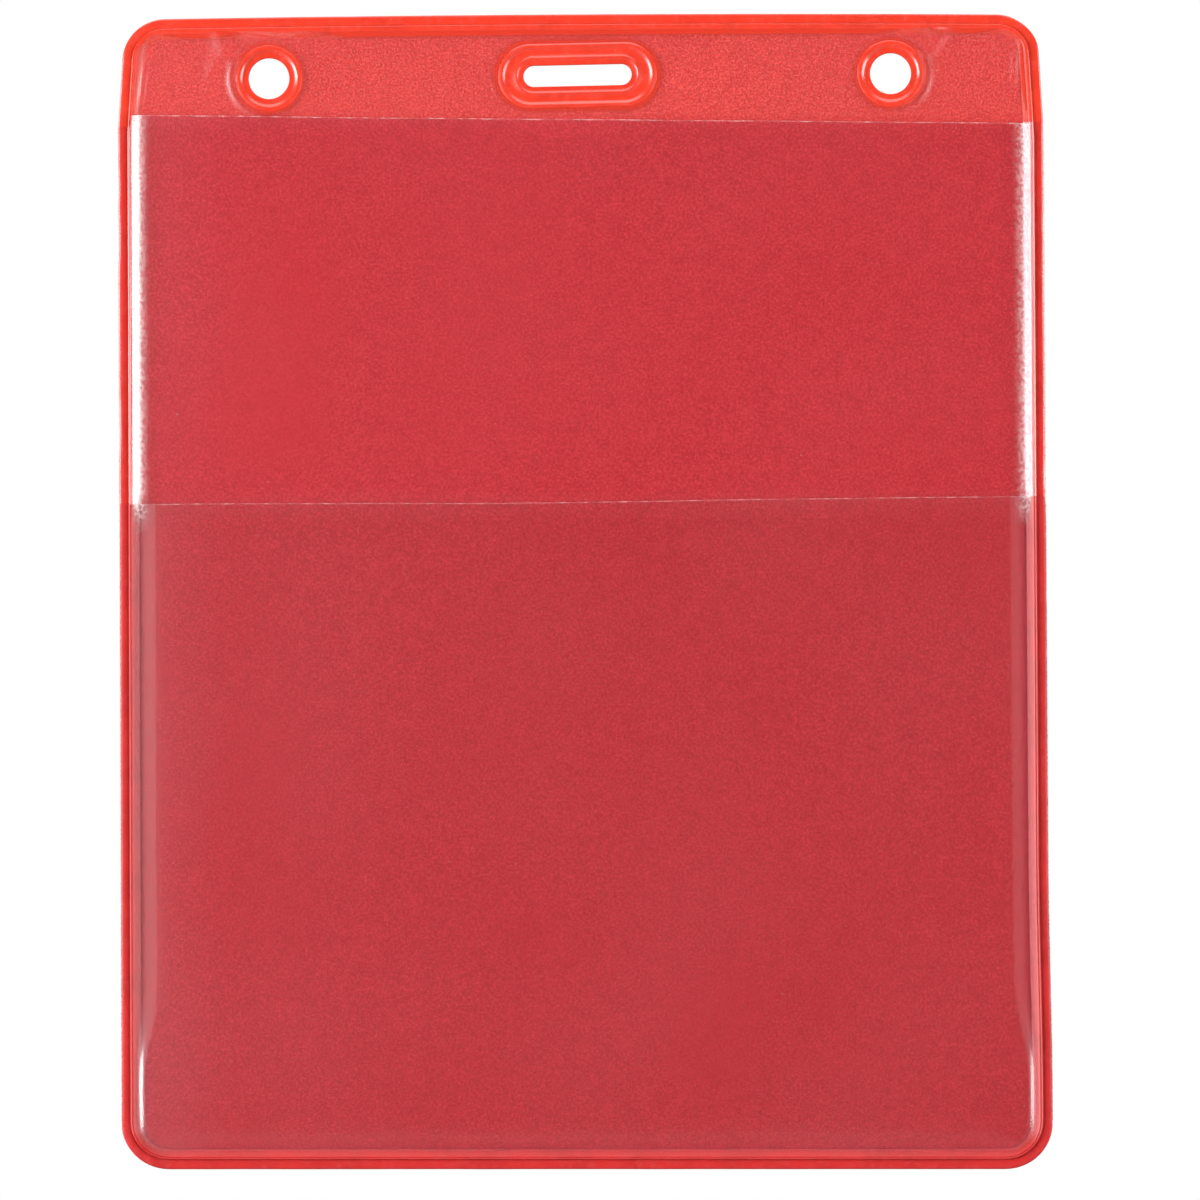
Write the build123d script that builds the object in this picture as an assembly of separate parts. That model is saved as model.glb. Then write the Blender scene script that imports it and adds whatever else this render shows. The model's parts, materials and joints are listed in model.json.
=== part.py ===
from build123d import *
import os

# Two-pocket vinyl badge holder, upright as it is worn, in millimetres.
# X runs to the right as seen from the front, Z is up, and the pockets face -Y.
# The origin is the centre of the strap slot, in the plane of the flat back. Depths are
# counted from that back face towards the front, so a point at depth d has y = -d.

# Cut outline
width = 136.0
height = 169.0
corner_radius = 7.0
centre_x = 0.5  # the outline's middle, to the right of the slot
top_z = 8.6

# Plies
back_thickness = 0.35
film_thickness = 0.25
rear_pocket_gap = 0.6
front_pocket_gap = 0.4
rear_shoulder = 1.6  # width over which a film climbs from the weld to the pocket's face
front_shoulder = 1.8
ply_clearance = 0.02

# Pocket mouths, each cut a little out of square
rear_mouth_left_z = -5.5
rear_mouth_right_z = -7.95
front_mouth_left_z = -62.8
front_mouth_right_z = -62.35

# Edge weld
flange_width = 1.5
bead_width = 0.9
press = 0.78  # how far the weld squeezes the stacked plies
bead_rise = 0.15  # height of the squeezed-out bead above the stacked plies

# Strap slot and chain holes
slot_length = 15.9
slot_width = 3.1
slot_tilt = 0.8
slot_ridge_margin = 0.9
slot_ring_length = 23.6
slot_ring_width = 9.4
slot_ring_x = 0.2
slot_ring_z = -0.15
hole_radius = 3.0
hole_ring_ridge_radius = 4.0
hole_ring_radius = 5.35
hole_z = -0.25
left_hole_x = -45.2
right_hole_x = 46.1

# Depths that follow from the plies
header_stack = back_thickness + film_thickness
rear_stack = header_stack + film_thickness
front_stack = rear_stack + ply_clearance + film_thickness
header_land = press * header_stack

weld_width = flange_width + bead_width
left_edge = centre_x - width / 2
right_edge = centre_x + width / 2
bottom_z = top_z - height
middle_z = top_z - height / 2
margin = 5.0  # how far cutting shapes reach past the outline

rear_mouth = (rear_mouth_left_z, rear_mouth_right_z)
front_mouth = (front_mouth_left_z, front_mouth_right_z)
above_all = (top_z + margin, top_z + margin)
below_all = (bottom_z - margin, bottom_z - margin)


def outline(inset=0.0, rise=0.0):
    """Rounded outline, pulled in by inset; rise lifts its top edge past a pocket's mouth."""
    shape = RectangleRounded(width - 2 * inset, height - 2 * inset + rise, corner_radius - inset)
    return Pos(centre_x, middle_z + rise / 2) * shape


def between(low, high):
    """Everything between two lines across the holder, each given by its z at its two ends."""
    return make_face(
        Polyline(
            (left_edge - margin, low[0]),
            (right_edge + margin, low[1]),
            (right_edge + margin, high[1]),
            (left_edge - margin, high[0]),
            close=True,
        )
    )


def slab(sketch, low, high):
    """Flat solid of a sketch from one depth to another."""
    return extrude(Plane.XZ.offset(low) * sketch, amount=high - low)


def slot_opening(margin_all_round=0.0):
    shape = SlotOverall(slot_length + 2 * margin_all_round, slot_width + 2 * margin_all_round)
    return Rot(0, 0, slot_tilt) * shape


def slot_ring_outline():
    return Pos(slot_ring_x, slot_ring_z) * SlotOverall(slot_ring_length, slot_ring_width)


def hole_circle(x, radius):
    return Pos(x, hole_z) * Circle(radius)


def sheet_inside_welds():
    """What is left of a full-height ply inside the edge weld and round the three rings."""
    inside = outline(weld_width) - slot_ring_outline()
    inside -= hole_circle(left_hole_x, hole_ring_radius)
    inside -= hole_circle(right_hole_x, hole_ring_radius)
    return inside


def back_sheet():
    return slab(sheet_inside_welds(), 0, back_thickness)


def lining_film():
    return slab(sheet_inside_welds(), back_thickness, header_stack)


def frustum(shoulder, low, rise):
    """Solid that narrows from the weld's inner wall by one shoulder as it rises."""
    lift = 4 * weld_width
    wide = Plane.XZ.offset(low) * outline(weld_width, lift)
    narrow = Plane.XZ.offset(low + rise) * outline(weld_width + shoulder, lift)
    return loft([wide, narrow], ruled=True)


def pocket_film(low, gap, shoulder, mouth):
    """One pocket's front: a shallow tray, joined to the weld on three sides, open at its mouth."""
    outside = slab(outline(weld_width, 4 * weld_width), low, low + film_thickness)
    outside += frustum(shoulder, low + film_thickness, gap)
    tray = outside - frustum(shoulder, low, gap)
    keep = slab(between(below_all, mouth), 0, low + gap + 2 * film_thickness)
    return tray & keep


def rear_pocket_film():
    return pocket_film(header_stack, rear_pocket_gap, rear_shoulder, rear_mouth)


def front_pocket_film():
    low = rear_stack + ply_clearance
    return pocket_film(low, rear_pocket_gap + front_pocket_gap, front_shoulder, front_mouth)


def edge_weld(low, high, stack, side=None):
    """Part of the fused rim between two lines: a pressed flange with a raised bead inside it."""
    zone = between(low, high)
    if side is not None:
        zone &= side
    rim = (outline() - outline(weld_width)) & zone
    bead = (outline(flange_width) - outline(weld_width)) & zone
    return slab(rim, 0, press * stack) + slab(bead, 0, stack + bead_rise)


def half(sign):
    """Left (-1) or right (+1) half of the holder."""
    return Pos(centre_x + sign * width / 2, middle_z) * Rectangle(width, height + 4 * margin)


def hole_weld_ring(x):
    """Pressed land round a chain hole, with the bead that the die pushed outwards."""
    opening = hole_circle(x, hole_radius)
    ring = hole_circle(x, hole_ring_radius)
    ridge = hole_circle(x, hole_ring_ridge_radius)
    land = slab(ring - opening, 0, header_land)
    bead = slab(ring - ridge, 0, header_stack + bead_rise)
    return land + bead


def slot_weld_ring():
    """Pressed land round the strap slot, with a raised bead outside it."""
    ring = slot_ring_outline()
    land = slab(ring - slot_opening(), 0, header_land)
    bead = slab(ring - slot_opening(slot_ridge_margin), 0, header_stack + bead_rise)
    return land + bead


nodes = {
    "back_sheet": back_sheet(),
    "lining_film": lining_film(),
    "rear_pocket_film": rear_pocket_film(),
    "front_pocket_film": front_pocket_film(),
    "header_weld": edge_weld(rear_mouth, above_all, header_stack),
    "left_side_weld": edge_weld(front_mouth, rear_mouth, rear_stack, half(-1)),
    "right_side_weld": edge_weld(front_mouth, rear_mouth, rear_stack, half(1)),
    "lower_weld": edge_weld(below_all, front_mouth, front_stack),
    "left_hole_ring": hole_weld_ring(left_hole_x),
    "right_hole_ring": hole_weld_ring(right_hole_x),
    "slot_ring": slot_weld_ring(),
}

os.makedirs("parts", exist_ok=True)
for name, shape in nodes.items():
    export_step(shape, f"parts/{name}.step")
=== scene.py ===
"""Two-pocket vinyl badge holder: films, fused rim and rings. An add-on, run as a script."""

import json
import math

import bmesh
import bpy
import numpy as np
from bpy.props import FloatProperty, FloatVectorProperty, PointerProperty
from mathutils import Matrix, Vector


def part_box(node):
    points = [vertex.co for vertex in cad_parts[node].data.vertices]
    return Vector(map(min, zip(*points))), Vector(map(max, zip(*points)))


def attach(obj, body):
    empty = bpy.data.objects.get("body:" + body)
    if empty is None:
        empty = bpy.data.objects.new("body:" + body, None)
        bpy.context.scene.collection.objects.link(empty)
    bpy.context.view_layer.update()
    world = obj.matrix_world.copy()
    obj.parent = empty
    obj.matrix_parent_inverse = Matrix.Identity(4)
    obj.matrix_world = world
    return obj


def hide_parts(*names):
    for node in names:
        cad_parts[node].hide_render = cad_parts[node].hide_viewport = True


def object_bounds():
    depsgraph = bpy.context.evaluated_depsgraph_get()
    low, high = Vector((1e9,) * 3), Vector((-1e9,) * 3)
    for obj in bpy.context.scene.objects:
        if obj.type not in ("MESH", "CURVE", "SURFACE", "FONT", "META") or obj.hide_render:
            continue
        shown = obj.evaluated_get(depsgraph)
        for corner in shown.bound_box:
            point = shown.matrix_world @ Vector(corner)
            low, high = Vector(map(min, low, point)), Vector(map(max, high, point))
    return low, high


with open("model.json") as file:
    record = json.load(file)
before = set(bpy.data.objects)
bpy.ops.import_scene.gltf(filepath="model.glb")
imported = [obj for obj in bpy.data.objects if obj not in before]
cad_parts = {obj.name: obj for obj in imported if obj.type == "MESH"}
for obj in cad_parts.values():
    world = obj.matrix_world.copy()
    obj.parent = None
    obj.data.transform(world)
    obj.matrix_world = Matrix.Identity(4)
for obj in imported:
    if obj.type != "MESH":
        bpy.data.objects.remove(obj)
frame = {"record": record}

bl_info = {
    "name": "Vinyl Badge Holder",
    "version": (1, 0, 0),
    "blender": (4, 5, 0),
    "location": "3D View > Sidebar > Badge Holder",
    "description": "Builds a welded vinyl badge holder with two clear pockets",
    "category": "Object",
}

MM = 0.001
BODY = "root"
CAD_LOW, CAD_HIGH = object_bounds()
MOUNTS = {mount["name"]: mount for mount in frame["record"]["mounts"]}


# ---------------------------------------------------------------- places from the frame


def span(node, axis):
    """Lowest and highest coordinate of a CAD node along an axis, 0 to 2 for X to Z."""
    low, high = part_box(node)
    return low[axis], high[axis]


def depth_of(node):
    """How far a node's front stands in front of the flat back, which lies at y = 0."""
    return -span(node, 1)[0]


LEFT, RIGHT = CAD_LOW[0], CAD_HIGH[0]
BOTTOM, TOP = CAD_LOW[2], CAD_HIGH[2]
MIDDLE_X = (LEFT + RIGHT) / 2
SIGHT_LEFT, SIGHT_RIGHT = span("back_sheet", 0)
SIGHT_BOTTOM, SIGHT_TOP = span("back_sheet", 2)
RIM_WIDTH = SIGHT_LEFT - LEFT
BACK_THICKNESS = depth_of("back_sheet")
HEADER_STACK = depth_of("lining_film")
FILM_THICKNESS = HEADER_STACK - BACK_THICKNESS
REAR_STACK = HEADER_STACK + FILM_THICKNESS
FRONT_STACK = REAR_STACK + FILM_THICKNESS
REAR_MOUTH = (span("left_side_weld", 2)[1], span("header_weld", 2)[0])
FRONT_MOUTH = (span("left_side_weld", 2)[0], span("lower_weld", 2)[1])
RIM_STEP = (REAR_MOUTH[0] - 1.7 * MM, REAR_MOUTH[1] + 0.3 * MM)  # where the rim's thickness steps


def on_line(ends, x):
    """z of a line across the holder, from its z at the left and right cut edges."""
    share = (x - LEFT) / (RIGHT - LEFT)
    return ends[0] + (ends[1] - ends[0]) * share


# ---------------------------------------------------------------- what a user would change


class HolderSizes(bpy.types.PropertyGroup):
    corner_radius: FloatProperty(
        name="Corner radius", description="Radius of the cut corners", default=7 * MM, unit="LENGTH"
    )
    top_corner_radius: FloatProperty(
        name="Top corner radius", description="Radius of the two corners of the header",
        default=5.8 * MM, unit="LENGTH",
    )
    rear_pillow: FloatProperty(
        name="Rear pocket height", description="How far the rear film stands off the lining",
        default=0.92 * MM, unit="LENGTH",
    )
    front_pillow: FloatProperty(
        name="Front pocket height", description="How far the front film stands off its weld",
        default=0.36 * MM, unit="LENGTH",
    )
    bead_rise: FloatProperty(
        name="Bead rise", description="Height of the rim's bead above the stacked plies",
        default=0.15 * MM, unit="LENGTH",
    )
    flash_width: FloatProperty(
        name="Flash width", description="Width of the clear flash outside the red cut edge",
        default=0.8 * MM, unit="LENGTH",
    )
    slot_length: FloatProperty(
        name="Slot length", description="Length of the strap slot", default=15.9 * MM, unit="LENGTH"
    )
    slot_width: FloatProperty(
        name="Slot width", description="Width of the strap slot", default=3.1 * MM, unit="LENGTH"
    )
    hole_radius: FloatProperty(
        name="Hole radius", description="Radius of the chain holes",
        default=MOUNTS["left_chain_hole"]["dims"]["r_mm"] * MM, unit="LENGTH",
    )


def colour_setting(name, description, default):
    return FloatVectorProperty(
        name=name, description=description, default=default, subtype="COLOR", min=0.0, max=1.0
    )


class HolderColours(bpy.types.PropertyGroup):
    vinyl: colour_setting("Vinyl", "The back sheet's red", (0.29, 0.0065, 0.005))
    wetted: colour_setting("Wetted vinyl", "Red where a film clings to it", (0.33, 0.005, 0.004))
    grain: colour_setting("Grain", "Paler tops of the back sheet's grain", (0.45, 0.032, 0.026))
    header_weld: colour_setting("Header weld", "Fused rim round the header", (0.40, 0.021, 0.009))
    side_weld: colour_setting("Side weld", "Fused rim beside the rear pocket", (0.33, 0.013, 0.009))
    lower_weld: colour_setting("Lower weld", "Fused rim, front pocket", (0.29, 0.0115, 0.011))
    # the haze colour also draws the pocket films' painted highlights and painted sheen
    haze: colour_setting("Haze", "What the films scatter", (0.50, 0.36, 0.35))
    film_tint: colour_setting("Film tint", "Passed by a film's outer face", (1.0, 0.985, 0.99))
    rear_tint: colour_setting("Rear tint", "Passed by the rear inner face", (0.905, 0.73, 0.87))
    front_tint: colour_setting("Front tint", "Passed by the front inner face", (1.0, 0.96, 0.98))
    flash: colour_setting("Flash", "Clear flash along the cut edge", (0.42, 0.13, 0.13))


class HolderStage(bpy.types.PropertyGroup):
    distance: FloatProperty(
        name="Camera distance", description="From the camera to the holder", default=0.8,
        unit="LENGTH",
    )
    azimuth: FloatProperty(
        name="Azimuth", description="How far the camera stands to the right",
        default=math.radians(1.59), subtype="ANGLE",
    )
    elevation: FloatProperty(
        name="Elevation", description="How far the camera stands above level",
        default=math.radians(-1.03), subtype="ANGLE",
    )
    roll: FloatProperty(
        name="Roll", description="Turn of the camera about its view", default=math.radians(-0.29),
        subtype="ANGLE",
    )
    left_light: FloatProperty(
        name="Left light", description="Radiance of the left panel", default=25.5
    )
    right_light: FloatProperty(
        name="Right light", description="Radiance of the right panel", default=16.6
    )
    top_light: FloatProperty(
        name="Top light", description="Radiance of the overhead panel", default=4.5
    )
    drop: FloatProperty(
        name="Drop", description="Gap between the holder and the floor", default=0.3, unit="LENGTH"
    )


# ---------------------------------------------------------------- shader maths


class Signal:
    """A shader socket that takes part in Python arithmetic."""

    def __init__(self, recipe, socket):
        self.recipe = recipe
        self.socket = socket

    def math(self, operation, *values, clamp=False):
        settings = {"operation": operation, "use_clamp": clamp}
        return self.recipe.node("ShaderNodeMath", settings, dict(enumerate(values)))

    def __add__(self, other):
        return self.math("ADD", self, other)

    def __radd__(self, other):
        return self.math("ADD", other, self)

    def __sub__(self, other):
        return self.math("SUBTRACT", self, other)

    def __rsub__(self, other):
        return self.math("SUBTRACT", other, self)

    def __mul__(self, other):
        return self.math("MULTIPLY", self, other)

    def __rmul__(self, other):
        return self.math("MULTIPLY", other, self)

    def __pow__(self, other):
        return self.math("POWER", self, other)

    def clamped(self):
        return self.math("ADD", self, 0.0, clamp=True)

    def ramp(self, low, high):
        """0 below low, 1 above high and smooth between; high may be under low."""
        sockets = {0: self, 1: low, 2: high}
        return self.recipe.node("ShaderNodeMapRange", {"interpolation_type": "SMOOTHSTEP"}, sockets)


class Recipe:
    """One procedural material, on Object coordinates in metres."""

    def __init__(self, name):
        self.material = bpy.data.materials.new(name)
        self.material.use_nodes = True
        self.tree = self.material.node_tree
        self.tree.nodes.clear()
        self.place = self.node("ShaderNodeTexCoord", {}, {}, "Object")

    def node(self, kind, settings, sockets, output=0):
        """Adds a node: its settings first, then the values or links of its sockets."""
        made = self.tree.nodes.new(kind)
        for key, value in settings.items():
            setattr(made, key, value)
        for key, value in sockets.items():
            if isinstance(value, Signal):
                self.tree.links.new(value.socket, made.inputs[key])
            else:
                made.inputs[key].default_value = value
        return Signal(self, made.outputs[output])

    def noise(self, size, detail=2.0, roughness=0.5, stretch=(1, 1, 1)):
        """Smooth noise, 0 to 1, with spots about size across."""
        place = self.node("ShaderNodeMapping", {}, {"Vector": self.place, "Scale": stretch})
        sockets = {"Vector": place, "Scale": 1 / size, "Detail": detail, "Roughness": roughness}
        return self.node("ShaderNodeTexNoise", {}, sockets)

    def specks(self, spacing, radius):
        """1 inside sparse round specks, 0 elsewhere; radius is a share of the spacing."""
        sockets = {"Vector": self.place, "Scale": 1 / spacing}
        distance = self.node("ShaderNodeTexVoronoi", {"feature": "F1"}, sockets, "Distance")
        return distance.ramp(radius, radius * 0.5)

    def height_of_place(self):
        """The z of the place being shaded."""
        return self.node("ShaderNodeSeparateXYZ", {}, {0: self.place}, "Z")

    def across_of_place(self):
        """The x of the place being shaded."""
        return self.node("ShaderNodeSeparateXYZ", {}, {0: self.place}, "X")

    def attribute(self, name):
        return self.node("ShaderNodeAttribute", {"attribute_name": name}, {}, "Fac")

    def mix(self, first, second, factor):
        """Colour that goes from first to second as factor goes from 0 to 1."""
        first, second = (c if isinstance(c, Signal) else (*c, 1.0) for c in (first, second))
        sockets = {0: factor, 6: first, 7: second}
        return self.node("ShaderNodeMix", {"data_type": "RGBA"}, sockets, 2)

    def bump(self, height, distance, strength=1.0):
        sockets = {"Height": height, "Distance": distance, "Strength": strength}
        return self.node("ShaderNodeBump", {}, sockets)

    def principled(self, **sockets):
        named = {key.replace("_", " "): value for key, value in sockets.items()}
        return self.node("ShaderNodeBsdfPrincipled", {}, named)

    def blend(self, first, second, factor):
        """Mix of two shaders."""
        return self.node("ShaderNodeMixShader", {}, {0: factor, 1: first, 2: second})

    def finish(self, shader):
        output = self.tree.nodes.new("ShaderNodeOutputMaterial")
        self.tree.links.new(shader.socket, output.inputs["Surface"])
        return self.material


# ---------------------------------------------------------------- materials


def red_vinyl(colours):
    """Opaque calendered vinyl: fine matte grain, and a purer red where a film clings to it."""
    r = Recipe("red_vinyl")
    grain = r.noise(0.31 * MM, 2.0, 0.7)
    mottle = r.noise(2.6 * MM, 1.0)
    clouds = r.noise(30 * MM, 1.0)
    across, height = r.across_of_place(), r.height_of_place()
    column = across.ramp(-56 * MM, -46 * MM) * across.ramp(-31 * MM, -42 * MM)
    column = column * height.ramp(-64 * MM, -52 * MM) * height.ramp(-12 * MM, -34 * MM)
    cling = (column * 0.9 + clouds.ramp(0.55, 0.75) * 0.4).clamped()
    red = r.mix(colours.vinyl, colours.wetted, cling)
    tops = (grain.ramp(0.40, 0.72) + (mottle - 0.5) * 0.35) * (1 - cling * 0.5)
    pale = r.mix(red, colours.grain, tops.clamped())
    skin = r.bump(grain, 0.06 * MM, 0.5)
    matte = r.principled(
        Base_Color=pale, Roughness=0.45 + grain * 0.15, Specular_IOR_Level=0.25, Normal=skin
    )
    return r.finish(matte)


def fused_vinyl(name, colour, roughness=0.20, shine=0.5):
    """Vinyl that the hot die melted together: glossy and a little uneven."""
    r = Recipe(name)
    flow = r.noise(5.0 * MM, 1.0, 0.5)
    streak = r.noise(1.0 * MM, 2.0, 0.5)
    deeper = [channel * 0.86 for channel in colour]
    milky = [channel * 0.97 + 0.006 for channel in colour]
    red = r.mix(r.mix(colour, deeper, flow.ramp(0.35, 0.7)), milky, streak.ramp(0.45, 0.75))
    skin = r.bump(streak, 0.02 * MM, 0.25)
    sockets = {"Base_Color": red, "Roughness": roughness + streak * 0.10, "Normal": skin}
    return r.finish(r.principled(Specular_IOR_Level=shine, **sockets))


FACE_ON = 0.05  # share of light a film mirrors when seen straight on


def clear_vinyl(name, colours, haze, marks, polish):
    """Outer face of a clear film: a thin veil, dust and a soft mirror, with marks added to both; on
    the pocket films these marks include painted highlights and a painted sheen.
    """
    r = Recipe(name)
    veil, cleared, melted = marks(r, haze * (0.4 + 1.2 * r.noise(26 * MM, 0.0)))
    dust = r.specks(3.1 * MM, 0.032) * 0.45
    clear = r.node("ShaderNodeBsdfTransparent", {}, {"Color": (*colours.film_tint, 1.0)})
    cloudy = r.node("ShaderNodeBsdfDiffuse", {}, {"Color": (*colours.haze, 1.0)})
    body = r.blend(clear, cloudy, (veil + dust * cleared).clamped())
    if melted:
        red = r.node("ShaderNodeBsdfDiffuse", {}, {"Color": (*colours.header_weld, 1.0)})
        body = r.blend(body, red, melted * 0.75)
    facing = r.node("ShaderNodeLayerWeight", {}, {"Blend": 0.5}, "Facing")
    gloss = r.node("ShaderNodeBsdfGlossy", {}, {"Roughness": polish})
    return r.finish(r.blend(body, gloss, FACE_ON + (1 - FACE_ON) * facing**5.0))


def header_marks(r, veil):
    """The lining's veil is grainy in the header, where it lies bare, but not where it is fused."""
    grain = r.noise(0.3 * MM, 2.0, 0.65)
    bare = r.height_of_place().ramp(min(REAR_MOUTH) - MM, max(REAR_MOUTH))
    open_share = 1 - r.attribute("fused")
    veil = veil + 0.05 * bare * open_share * grain.ramp(0.42, 0.66)
    return veil, open_share, r.attribute("fused")


def pocket_marks_and_sheen(r, veil):
    """Fine grain, a painted highlight along the cut edge, painted light that pales the far left,
    and dots on a painted pale fade beside the weld.
    """
    grain = r.noise(0.35 * MM, 1.0, 0.6)
    # painted highlight: the film's cut edge lit pale, broken up unevenly
    edge = r.attribute("cut_edge") * (0.10 + 0.5 * r.noise(1.5 * MM, 1.0).ramp(0.4, 0.7))
    # painted light: the film made paler towards the far left, the side of the stronger lamp
    beside = r.across_of_place().ramp(-50 * MM, -63 * MM)
    # painted sheen: a pale fade beside the weld where the shoulder's highlight dies away, with dots
    # in it
    dots = r.noise(0.5 * MM, 1.0, 0.6).ramp(0.38, 0.62)
    dotted_sheen = r.attribute("near_weld") * (0.08 + 0.38 * dots)
    return veil * (0.3 + 1.4 * grain) + beside * 0.012 + edge + dotted_sheen, 1.0, 0.0


def inner_vinyl(name, tint):
    """Inner face of a clear film, which only tints."""
    r = Recipe(name)
    return r.finish(r.node("ShaderNodeBsdfTransparent", {}, {"Color": (*tint, 1.0)}))


def flash_vinyl(colours):
    """Thin clear flash: glassy, with redder and more solid creases, and redder low down."""
    r = Recipe("flash_vinyl")
    serration = r.noise(0.32 * MM, 1.0, 0.5, stretch=(0.2, 0.2, 1.0))
    low = r.height_of_place().ramp(FRONT_MOUTH[0] + 3 * MM, FRONT_MOUTH[0] - 3 * MM)
    redness = (serration.ramp(0.4, 0.7) * 0.6 + low * 0.5).clamped()
    pink = r.mix((0.95, 0.80, 0.78), colours.flash, redness)
    solid = r.principled(Base_Color=pink, Roughness=0.25)
    clear = r.node("ShaderNodeBsdfTransparent", {}, {"Color": (0.96, 0.86, 0.86, 1.0)})
    body = (0.12 + 0.35 * low + 0.6 * serration.ramp(0.5, 0.7)).clamped()
    return r.finish(r.blend(clear, solid, body))


BOUNCE_TONE = (0.18, 0.18, 0.18)  # the floor's colour to everything but the camera


def floor_paint():
    """Matte studio floor, slightly uneven: pale and glowing to the camera, dark to other light."""
    r = Recipe("floor_paint")
    seen = r.node("ShaderNodeLightPath", {}, {}, "Is Camera Ray")
    pale = r.mix((0.80, 0.80, 0.80), (0.77, 0.77, 0.77), r.noise(0.2, 2.0))
    tone = r.mix(BOUNCE_TONE, pale, seen)
    glow = r.mix((0, 0, 0), (0.4, 0.4, 0.4), seen)
    matte = r.principled(
        Base_Color=tone, Roughness=0.8, Emission_Color=glow, Emission_Strength=1.0
    )
    return r.finish(matte)


# ---------------------------------------------------------------- modelling helpers


def deselect():
    if bpy.context.object and bpy.context.object.mode != "OBJECT":
        bpy.ops.object.mode_set(mode="OBJECT")
    bpy.ops.object.select_all(action="DESELECT")


def started(name):
    """Names the primitive that was just added, and applies its place."""
    made = bpy.context.object
    made.name = name
    made.data.name = name
    bpy.ops.object.transform_apply(location=True, rotation=True, scale=True)
    return made


def edit(obj):
    bpy.context.view_layer.objects.active = obj
    bpy.ops.object.mode_set(mode="EDIT")


def leave_edit():
    bpy.ops.object.mode_set(mode="OBJECT")


def select_mesh(obj, kind, test):
    """In edit mode, selects the verts, edges or faces that pass a test on their bmesh element."""
    bpy.ops.mesh.select_mode(type={"verts": "VERT", "edges": "EDGE", "faces": "FACE"}[kind])
    bpy.ops.mesh.select_all(action="DESELECT")
    mesh = bmesh.from_edit_mesh(obj.data)
    found = [element for element in getattr(mesh, kind) if test(element)]
    for element in found:
        element.select_set(True)
    mesh.select_flush_mode()
    bmesh.update_edit_mesh(obj.data)
    return len(found)


def smooth(value, low, high):
    """0 at low, 1 at high and smooth between, for arrays; high may be under low."""
    share = np.clip((value - low) / (high - low), 0, 1)
    return share * share * (3 - 2 * share)


def places(obj):
    points = np.empty(len(obj.data.vertices) * 3)
    obj.data.vertices.foreach_get("co", points)
    return points.reshape(-1, 3)


def put_places(obj, points):
    obj.data.vertices.foreach_set("co", points.ravel())
    obj.data.update()


def settle(obj):
    """Lets the outline wander from a true rectangle, as a soft sheet's does."""
    points = places(obj)
    x, z = points[:, 0].copy(), points[:, 2].copy()
    by_left, by_right = smooth(x, -52 * MM, -64 * MM), smooth(x, 53 * MM, 65 * MM)
    by_top, by_bottom = smooth(z, 3 * MM, 8 * MM), smooth(z, -150 * MM, -159 * MM)
    points[:, 0] += by_left * 0.065 * np.maximum(z + 8 * MM, 0)
    points[:, 0] -= by_right * 0.058 * np.maximum(z + 9.5 * MM, 0)
    points[:, 0] += by_right * 0.4 * MM * smooth(z, -115 * MM, -150 * MM)
    points[:, 2] += by_top * (0.24 * MM - 0.6 * MM * ((x + 15 * MM) / (80 * MM)) ** 2)
    points[:, 2] -= by_bottom * (0.05 * MM + 0.0025 * x)
    put_places(obj, points)


def apply_modifier(obj, kind, **settings):
    deselect()
    bpy.context.view_layer.objects.active = obj
    obj.select_set(True)
    modifier = obj.modifiers.new(kind.lower(), kind)
    for key, value in settings.items():
        setattr(modifier, key, value)
    bpy.ops.object.modifier_apply(modifier=modifier.name)


def roughen(obj, size, strength, direction="NORMAL"):
    """Fine unevenness over a whole piece, from a clouds texture."""
    clouds = bpy.data.textures.new(f"{obj.name}_clouds", "CLOUDS")
    clouds.noise_scale = size
    apply_modifier(
        obj, "DISPLACE", texture=clouds, texture_coords="GLOBAL", strength=strength,
        mid_level=0.5, direction=direction,
    )


def cut_with(obj, cutter, operation):
    """Boolean with a throwaway cutter."""
    apply_modifier(obj, "BOOLEAN", object=cutter, operation=operation, solver="EXACT")
    bpy.data.objects.remove(cutter, do_unlink=True)


SMOOTH_ANGLE = math.radians(50)  # faces that meet at less than this look like one surface


def finished(obj, material, nodes=(), inner=None):
    """Smooth shading, its material, and what it stands for; inner goes on faces that look back."""
    settle(obj)
    deselect()
    obj.select_set(True)
    bpy.context.view_layer.objects.active = obj
    bpy.ops.object.shade_smooth_by_angle(angle=SMOOTH_ANGLE)
    obj.data.materials.clear()
    obj.data.materials.append(material)
    if inner:
        obj.data.materials.append(inner)
        for face in obj.data.polygons:
            face.material_index = int(face.normal.y > 0.3)
    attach(obj, BODY)
    if nodes:
        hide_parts(*nodes)
    return obj


# ---------------------------------------------------------------- fused rim

# Across the rim: how far in from the cut edge (mm), and its height as a share of the flange (0)
# or of the bead's crest (1).
RIM_PROFILE = (
    (0.08, 0.92, 0),
    (0.24, 1.00, 0),
    (0.70, 1.00, 0),
    (1.15, 0.99, 0),
    (1.30, 0.93, 0),
    (1.38, 0.90, 0),
    (1.45, 0.86, 1),
    (1.53, 0.98, 1),
    (1.61, 1.00, 1),
    (1.70, 0.93, 1),
    (1.77, 0.92, 1),
    (1.86, 0.99, 1),
    (1.96, 0.96, 1),
    (2.10, 0.87, 1),
    (2.30, 0.78, 1),
    (2.50, 0.70, 1),
    (2.75, 0.57, 1),
    (3.00, 0.44, 1),
)
PRESS = 0.78  # the flange's thickness as a share of the plies stacked in it
LONG_ROW, SHORT_ROW = 1.0 * MM, 0.33 * MM  # face lengths along the ends and along the sides


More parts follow.
